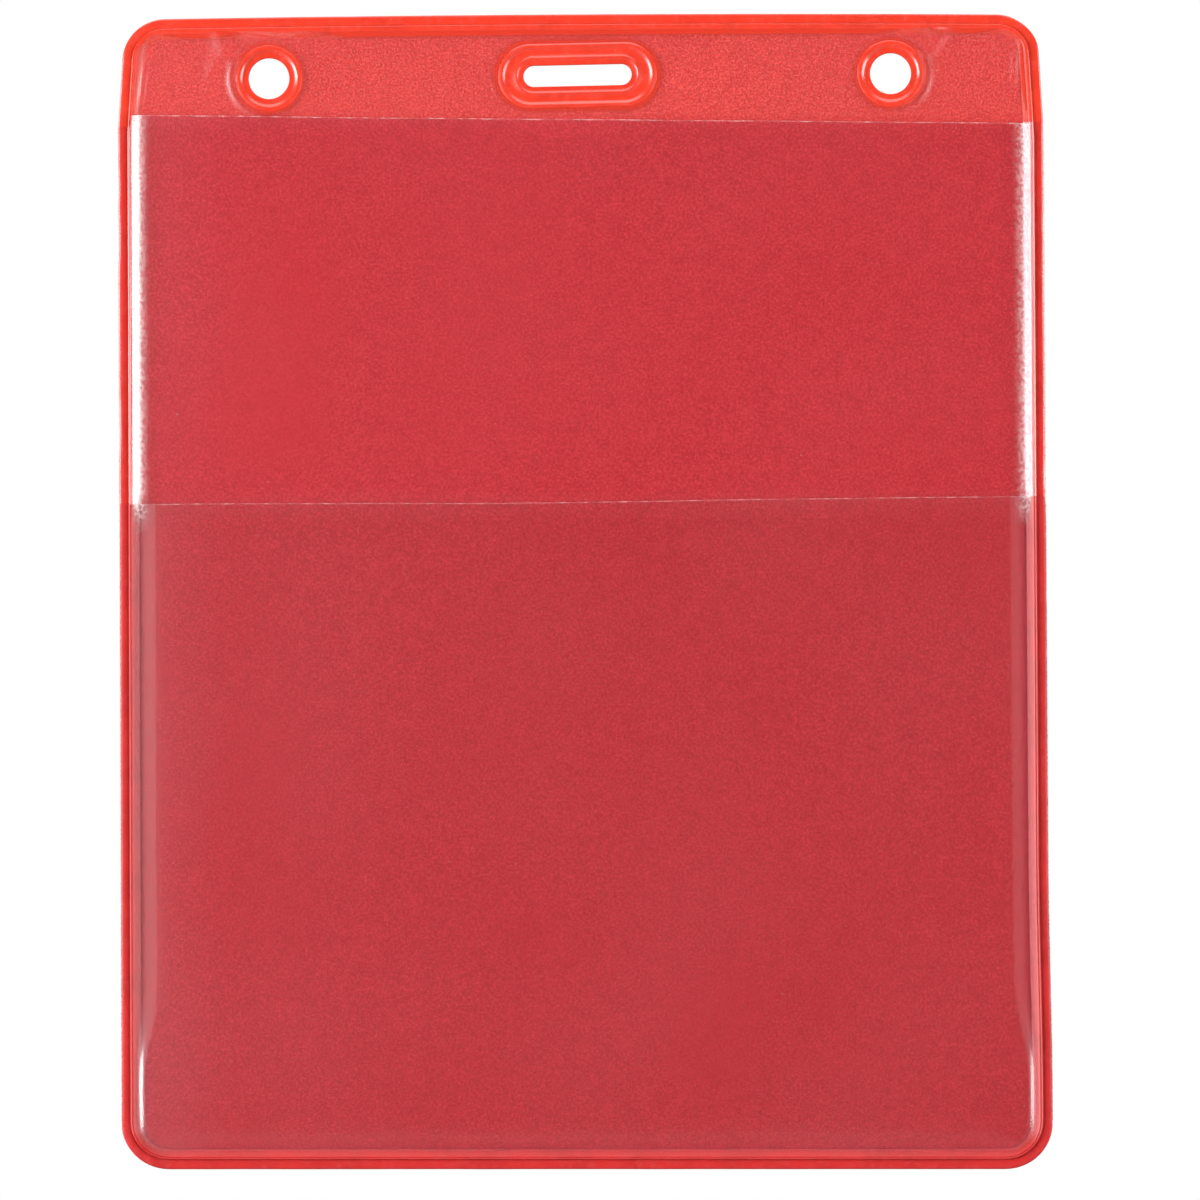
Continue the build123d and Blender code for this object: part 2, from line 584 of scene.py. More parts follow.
def rounded_plate(name, inset=0.0, side_row=LONG_ROW):
    """A flat face with the holder's rounded outline at y = 0, facing the front, finely divided."""
    sizes = bpy.context.scene.holder_sizes
    wide, tall = RIGHT - LEFT - 2 * inset, TOP - BOTTOM - 2 * inset
    centre = (MIDDLE_X, 0, (TOP + BOTTOM) / 2)
    deselect()
    bpy.ops.mesh.primitive_plane_add(size=1, location=centre, rotation=(math.pi / 2, 0, 0))
    plate = started(name)
    edit(plate)
    bpy.ops.transform.resize(value=(wide, 1, tall), center_override=centre)
    for radius, above in ((sizes.top_corner_radius, True), (sizes.corner_radius, False)):
        select_mesh(plate, "verts", lambda v, a=above: (v.co.z > centre[2]) == a)
        bpy.ops.mesh.bevel(
            offset=radius - inset, segments=14, affect="VERTICES", offset_type="OFFSET"
        )
    bpy.ops.mesh.select_all(action="SELECT")
    bpy.ops.mesh.delete(type="ONLY_FACE")
    for axis, length, row in (("x", wide, LONG_ROW), ("z", tall, side_row)):
        select_mesh(
            plate, "edges",
            lambda e, a=axis: abs(getattr(e.verts[0].co, a) - getattr(e.verts[1].co, a)) > 20 * MM,
        )
        bpy.ops.mesh.subdivide(number_cuts=round(length / row))
    bpy.ops.mesh.select_all(action="SELECT")
    bpy.ops.mesh.edge_face_add()
    if any(face.normal.y > 0 for face in bmesh.from_edit_mesh(plate.data).faces):
        bpy.ops.mesh.flip_normals()
    return plate


def rim(name, stack):
    """The whole fused rim, as it would be with this many plies all round."""
    sizes = bpy.context.scene.holder_sizes
    flange, crest = PRESS * stack, stack + sizes.bead_rise
    ring = rounded_plate(name, side_row=SHORT_ROW)
    inset, height = 0.0, 0.7 * flange
    bpy.ops.mesh.extrude_region_move(TRANSFORM_OT_translate={"value": (0, -height, 0)})
    for at, share, on_bead in RIM_PROFILE:
        target = share * (crest if on_bead else flange)
        bpy.ops.mesh.inset(thickness=at * MM - inset, depth=target - height)
        inset, height = at * MM, target
    bpy.ops.mesh.delete(type="FACE")
    select_mesh(ring, "faces", lambda f: len(f.verts) > 4)
    bpy.ops.mesh.inset(thickness=inset, depth=0)
    bpy.ops.mesh.delete(type="FACE")
    select_mesh(ring, "edges", lambda e: e.is_boundary)
    bpy.ops.mesh.bridge_edge_loops()
    bpy.ops.mesh.select_all(action="SELECT")
    bpy.ops.mesh.normals_make_consistent(inside=False)
    leave_edit()
    return ring


def keep_between(obj, low, high):
    """Cuts a piece along two lines across the holder, and closes the cuts."""
    for ends, up in ((low, 1), (high, -1)):
        if ends is None:
            continue
        point = Vector((LEFT, 0, ends[0]))
        along = Vector((RIGHT - LEFT, 0, ends[1] - ends[0]))
        normal = along.cross(Vector((0, 1, 0))).normalized() * up
        if normal.z * up < 0:
            normal = -normal
        edit(obj)
        bpy.ops.mesh.select_all(action="SELECT")
        bpy.ops.mesh.bisect(plane_co=point, plane_no=normal, use_fill=True, clear_inner=True)
        leave_edit()


def keep_side(obj, sign):
    edit(obj)
    bpy.ops.mesh.select_all(action="SELECT")
    bpy.ops.mesh.bisect(
        plane_co=(MIDDLE_X, 0, 0), plane_no=(sign, 0, 0), use_fill=True, clear_inner=True
    )
    leave_edit()


def bites(z, side):
    """Depth of the nibbles along a side's cut edge, in metres: rounded, uneven and well spaced."""
    z = z / MM
    wander = np.sin(z * 0.31 + side) + np.sin(z * 0.113 + 2.3 * side)
    chain = np.abs(np.sin(z * 2.35 + wander))
    loud = smooth(np.sin(z * 0.19 + 1.3 * side) + 0.6 * np.sin(z * 0.47 - side), -0.4, 0.9)
    fine = np.abs(np.sin(z * 4.76))
    low = smooth(z, -60.0, -66.0)
    return MM * ((1 - low) * 0.13 * chain * loud + low * 0.05 * fine)


def red_edge(z, side):
    """How far the red stops short of the cut edge on a side, in metres."""
    low = smooth(z, FRONT_MOUTH[0] + 2 * MM, FRONT_MOUTH[0] - 2 * MM)
    short = low * 0.12 + (1 - low) * (0.04 if side < 0 else 0.22)
    below_step = smooth(z, RIM_STEP[0], RIM_STEP[0] - 2 * MM)
    above_corner = smooth(z, BOTTOM + 4 * MM, BOTTOM + 9 * MM)
    return (short * MM + bites(z, side)) * (below_step * above_corner)


def nibble(obj):
    """Draws the red flange back from the cut edge along both sides, unevenly."""
    points = places(obj)
    for side, edge in ((-1, LEFT), (1, RIGHT)):
        inside = np.abs(points[:, 0] - edge)
        weight = np.clip(1 - inside / (0.9 * MM), 0, 1)
        points[:, 0] -= side * red_edge(points[:, 2], side) * weight
    put_places(obj, points)


class HOLDER_OT_rim(bpy.types.Operator):
    """Model the fused rim, in the stretches where two, three and four plies meet"""

    bl_idname = "holder.rim"
    bl_label = "Fused Rim"

    def execute(self, context):
        colours = context.scene.holder_colours
        stretches = (
            ("header_weld", HEADER_STACK, RIM_STEP, None, 0, colours.header_weld),
            ("left_side_weld", REAR_STACK, FRONT_MOUTH, RIM_STEP, -1, colours.side_weld),
            ("right_side_weld", REAR_STACK, FRONT_MOUTH, RIM_STEP, 1, colours.side_weld),
            ("lower_weld", FRONT_STACK, None, FRONT_MOUTH, 0, colours.lower_weld),
        )
        for node, stack, low, high, side, colour in stretches:
            piece = rim(f"{node}_skin", stack)
            keep_between(piece, low, high)
            if side:
                keep_side(piece, side)
            if node != "header_weld":
                nibble(piece)
            roughen(piece, 6 * MM, 0.04 * MM)
            roughen(piece, 1.6 * MM, 0.008 * MM)
            softer = (0.34, 0.2) if node == "lower_weld" else (0.20, 0.5)
            finished(piece, fused_vinyl(f"{node}_vinyl", colour, *softer), [node])
        return {"FINISHED"}


# ---------------------------------------------------------------- rings

# Round an opening: how far out from its wall (mm), depth from the back (mm), and how far the
# straight part of a slot is stretched past the slot's own (mm).
RING_PROFILE = (
    (0.00, 0.00, 0.00),
    (0.00, 0.36, 0.00),
    (0.05, 0.44, 0.00),
    (0.30, 0.43, 0.00),
    (0.72, 0.43, 0.00),
    (0.90, 0.47, 0.00),
    (1.04, 0.57, 0.00),
    (1.18, 0.67, 0.00),
    (1.34, 0.71, 0.00),
    (1.50, 0.70, 0.00),
    (1.70, 0.68, 0.00),
    (1.90, 0.60, 0.00),
    (1.90, 0.00, 0.00),
)
SLOT_PROFILE = (
    (0.00, 0.00, 0.00),
    (0.00, 0.38, 0.00),
    (0.06, 0.46, 0.00),
    (0.45, 0.46, 0.00),
    (0.78, 0.50, 0.00),
    (0.92, 0.60, 0.00),
    (1.04, 0.64, 0.00),
    (1.18, 0.60, 0.02),
    (1.36, 0.50, 0.10),
    (1.80, 0.45, 0.20),
    (2.20, 0.45, 0.30),
    (2.42, 0.54, 0.35),
    (2.60, 0.70, 0.40),
    (2.76, 0.75, 0.42),
    (2.92, 0.72, 0.50),
    (3.12, 0.62, 0.60),
    (3.12, 0.00, 0.60),
)
RING_REACH = 1.90 * MM  # how far a hole's ring shows past its opening


def weld_ring(name, node, opening_radius, profile, straight=0.0, tilt=0.0):
    """Pressed ring round an opening: a circle spun out to its profile, its halves drawn apart."""
    low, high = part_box(node)
    centre = ((low[0] + high[0]) / 2, 0.0, (low[2] + high[2]) / 2)
    deselect()
    bpy.ops.mesh.primitive_circle_add(
        vertices=128, radius=opening_radius, fill_type="NOTHING", location=centre,
        rotation=(math.pi / 2, 0, 0),
    )
    ring = started(name)
    edit(ring)
    radius, depth = opening_radius, 0.0
    for out, at_depth, _ in profile[1:]:
        target = opening_radius + out * MM
        bpy.ops.mesh.extrude_edges_move(
            TRANSFORM_OT_translate={"value": (0, depth - at_depth * MM, 0)}
        )
        bpy.ops.transform.resize(
            value=(target / radius, 1, target / radius), center_override=(centre[0], 0, centre[2])
        )
        radius, depth = target, at_depth * MM
    select_mesh(ring, "edges", lambda e: e.is_boundary)
    bpy.ops.mesh.bridge_edge_loops()
    if straight:
        draw_apart(ring, centre, opening_radius, profile, straight)
    bpy.ops.mesh.select_all(action="SELECT")
    bpy.ops.mesh.normals_make_consistent(inside=False)
    leave_edit()
    if tilt:
        turn_about(ring, centre, tilt)
    return ring


def draw_apart(ring, centre, opening_radius, profile, straight):
    """Moves the two halves of every loop of a round ring apart, which makes it a slot's."""
    extra_at = {round(opening_radius / MM + out, 3): extra for out, _, extra in profile}
    for radius, extra in extra_at.items():
        for side in (-1, 1):
            def on_loop(v, radius=radius, side=side):
                gap = Vector((v.co.x - centre[0], v.co.z - centre[2]))
                return abs(gap.length - radius * MM) < 0.01 * MM and gap.x * side > 0

            if select_mesh(ring, "verts", on_loop):
                shift = side * (straight / 2 + extra * MM)
                bpy.ops.transform.translate(value=(shift, 0, 0))
    select_mesh(ring, "edges", lambda e: e.calc_length() > straight * 0.8)
    bpy.ops.mesh.subdivide(number_cuts=24)


def turn_about(obj, centre, angle):
    """Turns a finished mesh in its own plane, with its object left at the origin."""
    place = Matrix.Translation(centre)
    obj.data.transform(place @ Matrix.Rotation(angle, 4, "Y") @ place.inverted())


class HOLDER_OT_rings(bpy.types.Operator):
    """Model the pressed rings round the strap slot and the chain holes"""

    bl_idname = "holder.rings"
    bl_label = "Weld Rings"

    def execute(self, context):
        sizes, colours = context.scene.holder_sizes, context.scene.holder_colours
        finish = fused_vinyl("ring_vinyl", colours.header_weld)
        for node in ("left_hole_ring", "right_hole_ring"):
            ring = weld_ring(f"{node}_skin", node, sizes.hole_radius, RING_PROFILE)
            roughen(ring, 3.0 * MM, 0.05 * MM, "Y")
            finished(ring, finish, [node])
        straight = sizes.slot_length - sizes.slot_width
        ring = weld_ring(
            "slot_ring_skin", "slot_ring", sizes.slot_width / 2, SLOT_PROFILE, straight,
            math.radians(-0.8),
        )
        roughen(ring, 3 * MM, 0.05 * MM, "Y")
        finished(ring, finish, ["slot_ring"])
        return {"FINISHED"}


# ---------------------------------------------------------------- sheets


def spaced(low, high, coarse, fine, fine_low, fine_high):
    """Places from low to high, in fine steps within fine_low and fine_high of the ends."""
    start = np.arange(low, low + fine_low, fine)
    end = np.arange(high, high - fine_high, -fine)[::-1]
    count = max(2, round((end[0] - start[-1]) / coarse)) if len(end) and len(start) else 2
    middle = np.linspace(start[-1], end[0], count + 1)[1:-1]
    return np.concatenate([start, middle, end])


def sheet_from_grid(name, xs, z_shares, z_low, z_high, depth):
    """A grid whose columns stand at xs and whose rows share out z_low to z_high(x)."""
    deselect()
    bpy.ops.mesh.primitive_grid_add(
        x_subdivisions=len(xs) - 1, y_subdivisions=len(z_shares) - 1, size=1,
        rotation=(math.pi / 2, 0, 0),
    )
    sheet = started(name)
    columns, rows = np.meshgrid(xs, z_shares)
    x = columns.ravel()
    z = z_low + (z_high(x) - z_low) * rows.ravel()
    points = np.column_stack([x, -depth(x, z), z])
    sheet.data.vertices.foreach_set("co", points.ravel())
    sheet.data.update()
    return sheet


def set_attribute(obj, name, values):
    layer = obj.data.attributes.new(name, "FLOAT", "POINT")
    layer.data.foreach_set("value", np.asarray(values, dtype=np.float32))


def thicken(obj, thickness):
    """Gives a sheet its thickness, towards the back."""
    apply_modifier(obj, "SOLIDIFY", thickness=thickness, offset=-1.0, use_even_offset=True)


def distance_inside(x, z, radius=4.6 * MM):
    """How far a place lies inside the rim's inner wall, which is open at the top."""
    half = (SIGHT_RIGHT - SIGHT_LEFT) / 2
    across = np.abs(x - MIDDLE_X) - (half - radius)
    down = (SIGHT_BOTTOM + radius) - z
    outer = np.hypot(np.maximum(across, 0), np.maximum(down, 0))
    return radius - outer - np.minimum(np.maximum(across, down), 0)


def broad_shoulder(inside, _x, z):
    """The rear film's rise from the weld: steep at the weld, then easing, and held down below."""
    bare = smooth(z, max(FRONT_MOUTH) - 2.5 * MM, max(FRONT_MOUTH) + 0.5 * MM)
    free = 1 - np.clip(1 - inside / (2.7 * MM), 0, 1) ** 2.2
    return bare * free + (1 - bare) * 0.10 * smooth(inside, 0, 5.5 * MM)


def tight_shoulder(inside, x, z):
    """The front film's rise, 0 to 1: a long ramp that is short and steep in the lower corners."""
    corner = smooth(z, -134 * MM, -146 * MM) * smooth(np.abs(x - MIDDLE_X), 59 * MM, 63 * MM)
    share = np.clip((inside - 0.35 * MM) / (4.5 * MM - 3.0 * MM * corner), 0, 1)
    return share**3 * (share * (6 * share - 15) + 10)


def ripple(x, z, length, phase):
    """Gentle unevenness of a hanging sheet, about -1 to 1, with waves of about this length."""
    k = 2 * math.pi / length
    first = np.sin(k * (x * 0.9 + z * 0.35) + phase)
    second = np.sin(k * (z * 0.8 - x * 0.3) * 1.37 + 2.1 * phase)
    third = np.sin(k * (x * 0.5 + z * 1.1) * 0.61 + 0.7 * phase)
    return (first + second + third) / 3


def rounded_prism(name, inset):
    """Cutter with the holder's rounded outline."""
    prism = rounded_plate(name, inset)
    bpy.ops.transform.translate(value=(0, -4 * MM, 0))
    bpy.ops.mesh.extrude_region_move(TRANSFORM_OT_translate={"value": (0, 8 * MM, 0)})
    bpy.ops.mesh.select_all(action="SELECT")
    bpy.ops.mesh.normals_make_consistent(inside=False)
    leave_edit()
    return prism


def ring_seats():
    """Cutters a little smaller than the three rings, so that the sheets tuck in under them."""
    tuck = 0.2 * MM
    hole_seat = bpy.context.scene.holder_sizes.hole_radius + RING_REACH - tuck
    cutters = []
    for node in ("left_hole_ring", "right_hole_ring", "slot_ring"):
        low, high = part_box(node)
        radius = hole_seat if "hole" in node else (high[2] - low[2]) / 2 - tuck
        centre = ((low[0] + high[0]) / 2, 0, (low[2] + high[2]) / 2)
        deselect()
        bpy.ops.mesh.primitive_cylinder_add(
            vertices=96, radius=radius, depth=8 * MM, location=centre, rotation=(math.pi / 2, 0, 0)
        )
        cutter = started(f"{node}_seat")
        straight = (high[0] - low[0]) - (high[2] - low[2])
        if "slot" in node:
            edit(cutter)
            for side in (-1, 1):
                select_mesh(cutter, "verts", lambda v, s=side: (v.co.x - centre[0]) * s > 0)
                bpy.ops.transform.translate(value=(side * straight / 2, 0, 0))
            leave_edit()
        cutters.append(cutter)
    return cutters


# Puckers in the header's clear ply: x, z, angle, length, width and height, in mm and degrees.
PUCKERS = (
    (-51.6, 4.2, 112, 6.0, 1.25, 0.36),
    (-46.0, 5.9, -4, 9.0, 0.50, 0.22),
    (-53.2, 2.0, 72, 5.0, 1.10, 0.22),
    (-41.5, 5.6, 18, 5.0, 0.60, 0.14),
    (52.6, 4.2, 52, 6.0, 1.20, 0.34),
    (54.5, 5.9, -6, 6.0, 0.50, 0.18),
    (60.5, 4.0, -38, 4.0, 0.90, 0.20),
    (64.8, 1.0, 84, 7.0, 0.45, 0.26),
    (-64.2, -1.0, 86, 12.0, 0.50, 0.32),
)


def pucker_height(x, z):
    total = np.zeros_like(x)
    for at_x, at_z, angle, length, width, height in PUCKERS:
        turn = math.radians(angle)
        dx, dz = x / MM - at_x, z / MM - at_z
        along = dx * math.cos(turn) + dz * math.sin(turn)
        across = -dx * math.sin(turn) + dz * math.cos(turn)
        total += height * MM * np.exp(-((along / (0.5 * length)) ** 2) - (across / width) ** 2)
    return total


def hole_places():
    """Centre and outward direction, in radians, of each hole ring's softer side."""
    for node, direction in (("left_hole_ring", 200), ("right_hole_ring", -25)):
        low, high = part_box(node)
        yield (low[0] + high[0]) / 2, (low[2] + high[2]) / 2, math.radians(direction)


def ring_bulge(x, z):
    """The header's ply stands up just outside the hole rings, most on their outer sides."""
    edge = bpy.context.scene.holder_sizes.hole_radius + RING_REACH
    total = np.zeros_like(x)
    for centre_x, centre_z, direction in hole_places():
        away = np.hypot(x - centre_x, z - centre_z) - edge
        lean = np.cos(np.arctan2(z - centre_z, x - centre_x) - direction)
        height = 0.07 + 0.24 * np.clip(lean, 0, 1) ** 2
        total += height * MM * np.exp(-(((away - 0.65 * MM) / (0.55 * MM)) ** 2))
    return total


def window(value, low, high, soft=2.8):
    """1 between low and high, in mm, and 0 outside, with soft ends."""
    return smooth(value / MM, low - soft, low + soft) * smooth(value / MM, high + soft, high - soft)


def fused_share(x, z):
    """1 where the die fused the header's ply down to the sheet beside a weld or a ring."""
    down = (SIGHT_TOP - z) / MM
    from_right = (SIGHT_RIGHT - x) / MM
    top = 0.62 * window(x, -60, -51) + 0.68 * window(x, -36, 46) + 0.62 * window(x, 53.5, 61)
    side = 0.62 * window(z, -4.5, 4.0)
    fused = smooth(down, top + 0.1, top - 0.3) * (top > 0.1)
    fused = np.maximum(fused, smooth(from_right, side + 0.1, side - 0.3) * (side > 0.1))
    edge = bpy.context.scene.holder_sizes.hole_radius + RING_REACH
    for centre_x, centre_z, _ in hole_places():
        away = np.hypot(x - centre_x, z - centre_z) - edge
        fused = np.maximum(fused, smooth(away, 0.75 * MM, -0.1 * MM))
    low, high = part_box("slot_ring")
    half_long, half_high = (high[0] - low[0]) / 2, (high[2] - low[2]) / 2
    across = np.maximum(np.abs(x - (low[0] + high[0]) / 2) - (half_long - half_high), 0)
    away = np.hypot(across, z - (low[2] + high[2]) / 2) - half_high
    return np.maximum(fused, smooth(away, 0.9 * MM, 0.0))


TUCK = 0.45 * MM  # how far sheets reach over the rim's inner slope


class HOLDER_OT_sheets(bpy.types.Operator):
    """Model the red back sheet and the clear ply that lines it"""

    bl_idname = "holder.sheets"
    bl_label = "Back and Lining"

    def execute(self, context):
        colours = context.scene.holder_colours
        left, right = SIGHT_LEFT - TUCK, SIGHT_RIGHT + TUCK
        low, high = SIGHT_BOTTOM - TUCK, SIGHT_TOP + TUCK

        def back_front(x, z):
            return BACK_THICKNESS + 0.03 * MM * ripple(x, z, 60 * MM, 1.0)

        xs = np.linspace(left, right, 60)
        shares = np.linspace(0, 1, 74)
        back = sheet_from_grid("back_sheet_skin", xs, shares, low, lambda x: high, back_front)
        thicken(back, BACK_THICKNESS)
        cut_with(back, rounded_prism("outline_cutter", RIM_WIDTH - TUCK), "INTERSECT")
        for cutter in ring_seats():
            cut_with(back, cutter, "DIFFERENCE")
        finished(back, red_vinyl(colours), ["back_sheet"])

        header_low = min(REAR_MOUTH) - 2 * MM

        def lining_front(x, z):
            loose = smooth(z, header_low, header_low + 1.5 * MM)
            to_weld = np.minimum(SIGHT_TOP - z, np.minimum(x - SIGHT_LEFT, SIGHT_RIGHT - x))
            lift = 0.02 * MM * np.exp(-np.maximum(to_weld + 0.45 * MM, 0) / (0.6 * MM))
            wave = 0.05 * MM * ripple(x, z, 24 * MM, 0.4) * smooth(to_weld, 0.5 * MM, 4 * MM)
            rise = wave + lift + pucker_height(x, z) + ring_bulge(x, z)
            return HEADER_STACK + rise * loose

        lining_xs = np.linspace(left, right, 380)
        share_header = (high - header_low) / (high - low)
        fine = np.linspace(1 - share_header, 1, 60)
        shares = np.concatenate([np.linspace(0, 1 - share_header, 20)[:-1], fine])
        lining = sheet_from_grid(
            "lining_film_skin", lining_xs, shares, low, lambda x: high, lining_front
        )
        points = places(lining)
        set_attribute(lining, "fused", fused_share(points[:, 0], points[:, 2]))
        thicken(lining, FILM_THICKNESS - 0.03 * MM)
        cut_with(lining, rounded_prism("outline_cutter", RIM_WIDTH - TUCK), "INTERSECT")
        for cutter in ring_seats():
            cut_with(lining, cutter, "DIFFERENCE")
        finish = clear_vinyl("lining_vinyl", colours, 0.008, header_marks, 0.27)
        inner = inner_vinyl("lining_inside", (0.98, 0.97, 0.97))
        finished(lining, finish, ["lining_film"], inner)
        return {"FINISHED"}


def pocket_film(name, node, mouth, bow, start, pillow, shoulder, materials, wave):
    """One clear film with its shoulders at the weld and its cut edge at the mouth."""
    left, right, low = SIGHT_LEFT - TUCK, SIGHT_RIGHT + TUCK, SIGHT_BOTTOM - TUCK

    def mouth_z(x):
        sag = bow * np.exp(-(((x + 5 * MM) / (32 * MM)) ** 2))
        return on_line(mouth, x) - sag + 0.05 * MM * ripple(x, 0 * x, 23 * MM, wave)

    def front(x, z):
        inside = distance_inside(x, z)
        loose = smooth(inside, 2.0 * MM, 9 * MM)
        relaxed = 0.08 * MM * ripple(x, z, 52 * MM, wave) + 0.02 * MM * ripple(x, z, 17 * MM, wave)
        return start + pillow * shoulder(inside + TUCK, x, z) + relaxed * loose

    xs = spaced(left, right, 1.6 * MM, 0.11 * MM, 3.6 * MM, 3.6 * MM)
    heights = spaced(0.0, mouth[0] - low, 1.8 * MM, 0.13 * MM, 3.6 * MM, 0.9 * MM)
    film = sheet_from_grid(name, xs, heights / heights[-1], low, mouth_z, front)
    points = places(film)
    from_mouth = mouth_z(points[:, 0]) - points[:, 2]
    # cut_edge: the strip at the mouth where the material paints a highlight along the cut edge
    set_attribute(film, "cut_edge", np.clip(1 - from_mouth / (0.15 * MM), 0, 1))
    inside = distance_inside(points[:, 0], points[:, 2])
    below = smooth(points[:, 2], max(FRONT_MOUTH), min(FRONT_MOUTH) - 4 * MM)
    # near_weld: the strip beside the weld where the material paints a pale fade of the shoulder's
    # highlight
    set_attribute(film, "near_weld", smooth(inside, 2.9 * MM, 0.3 * MM) ** 1.5 * (1 - below))
    thicken(film, FILM_THICKNESS)
    cut_with(film, rounded_prism("outline_cutter", RIM_WIDTH - TUCK), "INTERSECT")
    finished(film, materials[0], [node], materials[1])
    return film


class HOLDER_OT_pockets(bpy.types.Operator):
    """Model the two clear pocket films, open at their mouths"""

    bl_idname = "holder.pockets"
    bl_label = "Pocket Films"

    def execute(self, context):
        sizes, colours = context.scene.holder_sizes, context.scene.holder_colours
        rear = (
            clear_vinyl("rear_pocket_vinyl", colours, 0.008, pocket_marks_and_sheen, 0.27),
            inner_vinyl("rear_pocket_inside", colours.rear_tint),
        )
        pocket_film(
            "rear_pocket_film_skin", "rear_pocket_film", REAR_MOUTH, 0.05 * MM, REAR_STACK,
            sizes.rear_pillow, broad_shoulder, rear, 0.3,
        )
        front = (
            clear_vinyl("front_pocket_vinyl", colours, 0.005, pocket_marks_and_sheen, 0.22),
            inner_vinyl("front_pocket_inside", colours.front_tint),
        )
        pocket_film(
            "front_pocket_film_skin", "front_pocket_film", FRONT_MOUTH, 0.32 * MM, FRONT_STACK,
            sizes.front_pillow, tight_shoulder, front, 1.9,
        )
        return {"FINISHED"}


# ---------------------------------------------------------------- flash

# From the flat back to the flash's front face, and the flash's own thickness.
FLASH_FACE, FLASH_THICK = 0.30 * MM, 0.2 * MM


class HOLDER_OT_flash(bpy.types.Operator):
    """Model the nibbled clear flash along both cut edges, below the header"""

    bl_idname = "holder.flash"
    bl_label = "Cut Edge Flash"

    def execute(self, context):
        sizes, colours = context.scene.holder_sizes, context.scene.holder_colours
        finish = flash_vinyl(colours)
        low = BOTTOM + sizes.corner_radius
        for name, edge, side, high in (
            ("left_flash", LEFT, -1, RIM_STEP[0]),
            ("right_flash", RIGHT, 1, RIM_STEP[1]),
        ):
            xs = np.linspace(-sizes.flash_width, 0, 5)
            shares = np.linspace(0, 1, round((high - low) / (0.2 * MM)))
            strip = sheet_from_grid(
                name, xs, shares, low,
                lambda x, top=high: top + 0 * x,
                lambda x, z: FLASH_FACE + 0 * x,
            )
            points = places(strip)
            nibbled = 0.5 * bites(points[:, 2] + 0.3 * MM, side) * (points[:, 0] > -0.1 * MM)
            points[:, 0] = edge + side * (points[:, 0] - nibbled)
            put_places(strip, points)
            if side < 0:
                edit(strip)
                bpy.ops.mesh.select_all(action="SELECT")
                bpy.ops.mesh.flip_normals()
                leave_edit()
            thicken(strip, FLASH_THICK)
            finished(strip, finish)
        return {"FINISHED"}


# ---------------------------------------------------------------- stage

# Panels, wide and tall in metres.
SIDE_PANEL, FILL_PANEL, WIDE_PANEL = (0.62, 0.55), (0.42, 0.5), (1.2, 0.8)
FILL_SHARE = 0.07  # radiance of a fill, as a share of its side panel's
BACK_LIGHT = 3.6  # radiance of the panel behind the holder
CAMERA_AIM = Vector((3.1 * MM, 0, -77.2 * MM))
CAMERA_LENS = 163.7  # focal length in mm


def soft_panel(name, azimuth, elevation, distance, size, radiance):
    """Area light that faces the holder; azimuth 0 is the camera's side."""
    a, e = math.radians(azimuth), math.radians(elevation)
    aim = Vector((MIDDLE_X, 0, (TOP + BOTTOM) / 2))
    away = Vector((math.sin(a) * math.cos(e), -math.cos(a) * math.cos(e), math.sin(e)))
    turned = away.to_track_quat("Z", "Y").to_euler()
    bpy.ops.object.light_add(type="AREA", location=aim + away * distance, rotation=turned)
    panel = bpy.context.object
    panel.name = name
    panel.data.shape = "RECTANGLE"
    panel.data.size, panel.data.size_y = size
    panel.data.energy = radiance * math.pi * size[0] * size[1]
    return panel


def studio_air():
    """World: white to the eye; as light, a soft grey that is dim on the camera's side."""
    world = bpy.data.worlds.new("studio_air")
    world.use_nodes = True
    tree = world.node_tree
    tree.nodes.clear()

    def add(kind, **sockets):
        made = tree.nodes.new(kind)
        for key, value in sockets.items():
            made.inputs[key.replace("_", " ")].default_value = value
        return made

    seen = add("ShaderNodeBackground", Color=(1, 1, 1, 1), Strength=1.0)
    lit = add("ShaderNodeBackground", Color=(0.98, 0.99, 1.0, 1))
    direction = add("ShaderNodeTexCoord")
    parts = add("ShaderNodeSeparateXYZ")
    strength = add(
        "ShaderNodeMapRange", From_Min=-0.75, From_Max=0.5, To_Min=0.03, To_Max=0.5
    )
    strength.interpolation_type = "SMOOTHSTEP"
    path = add("ShaderNodeLightPath")
    mix = add("ShaderNodeMixShader")
    output = add("ShaderNodeOutputWorld")
    link = tree.links.new
    link(direction.outputs["Generated"], parts.inputs[0])
    link(parts.outputs["Y"], strength.inputs["Value"])
    link(strength.outputs[0], lit.inputs["Strength"])
    link(path.outputs["Is Camera Ray"], mix.inputs[0])
    link(lit.outputs[0], mix.inputs[1])
    link(seen.outputs[0], mix.inputs[2])
    link(mix.outputs[0], output.inputs["Surface"])
    bpy.context.scene.world = world


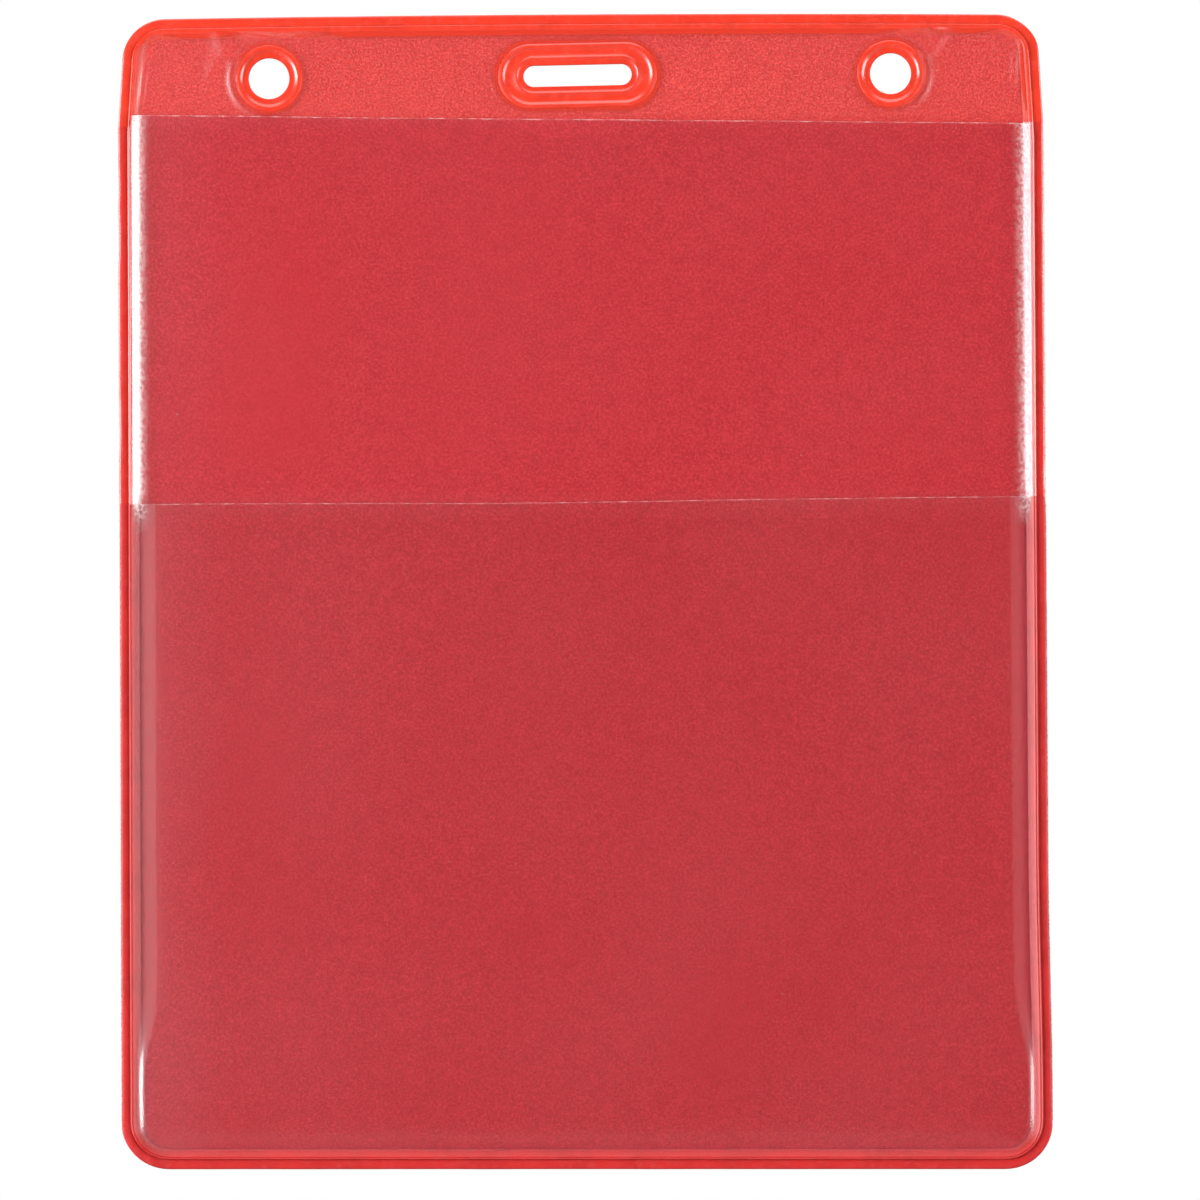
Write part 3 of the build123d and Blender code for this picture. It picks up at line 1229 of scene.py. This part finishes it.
class HOLDER_OT_stage(bpy.types.Operator):
    """Set up the floor, the soft lights and the camera"""

    bl_idname = "holder.stage"
    bl_label = "Stage"

    def execute(self, context):
        stage = context.scene.holder_stage
        deselect()
        bpy.ops.mesh.primitive_plane_add(size=6, location=(MIDDLE_X, 0, BOTTOM - stage.drop))
        floor = bpy.context.object
        floor.name = "floor"
        floor.data.materials.append(floor_paint())
        studio_air()
        soft_panel("left_panel", -62, 0, 1.0, SIDE_PANEL, stage.left_light)
        soft_panel("right_panel", 62, 0, 1.0, SIDE_PANEL, stage.right_light)
        soft_panel("left_fill", -32, 0, 1.0, FILL_PANEL, stage.left_light * FILL_SHARE)
        soft_panel("right_fill", 32, 0, 1.0, FILL_PANEL, stage.right_light * FILL_SHARE)
        soft_panel("top_panel", 0, 62, 1.1, WIDE_PANEL, stage.top_light)
        soft_panel("back_panel", 180, 35, 1.4, WIDE_PANEL, BACK_LIGHT)
        a, e = stage.azimuth, stage.elevation
        away = Vector((math.sin(a) * math.cos(e), -math.cos(a) * math.cos(e), math.sin(e)))
        bpy.ops.object.camera_add(location=CAMERA_AIM + away * stage.distance)
        camera = context.object
        camera.rotation_mode = "QUATERNION"
        turned = away.to_track_quat("Z", "Y").to_matrix().to_4x4()
        camera.rotation_quaternion = (turned @ Matrix.Rotation(stage.roll, 4, "Z")).to_quaternion()
        camera.data.lens = CAMERA_LENS
        camera.data.clip_start, camera.data.clip_end = 0.05, 20
        context.scene.camera = camera
        context.scene.view_settings.view_transform = "Standard"
        context.scene.cycles.transparent_max_bounces = 24
        context.scene.cycles.max_bounces = 4
        context.scene.cycles.diffuse_bounces = 2
        context.scene.cycles.glossy_bounces = 2
        return {"FINISHED"}


class HOLDER_PT_panel(bpy.types.Panel):
    bl_label = "Badge Holder"
    bl_idname = "HOLDER_PT_panel"
    bl_space_type = "VIEW_3D"
    bl_region_type = "UI"
    bl_category = "Badge Holder"

    def draw(self, context):
        layout = self.layout
        for key in GROUPS:
            group = getattr(context.scene, key)
            for name in group.__annotations__:
                layout.prop(group, name)
        for operator in OPERATORS:
            layout.operator(operator.bl_idname)


GROUPS = {"holder_sizes": HolderSizes, "holder_colours": HolderColours, "holder_stage": HolderStage}
OPERATORS = (
    HOLDER_OT_sheets, HOLDER_OT_pockets, HOLDER_OT_rim, HOLDER_OT_rings, HOLDER_OT_flash,
    HOLDER_OT_stage,
)


def register():
    for cls in (*GROUPS.values(), *OPERATORS, HOLDER_PT_panel):
        bpy.utils.register_class(cls)
    for name, group in GROUPS.items():
        setattr(bpy.types.Scene, name, PointerProperty(type=group))


def unregister():
    for name in GROUPS:
        delattr(bpy.types.Scene, name)
    for cls in (HOLDER_PT_panel, *reversed(OPERATORS), *reversed(GROUPS.values())):
        bpy.utils.unregister_class(cls)


def main():
    register()
    bpy.ops.holder.sheets()
    bpy.ops.holder.pockets()
    bpy.ops.holder.rim()
    bpy.ops.holder.rings()
    bpy.ops.holder.flash()
    bpy.ops.holder.stage()
    deselect()


if __name__ == "__main__":
    main()
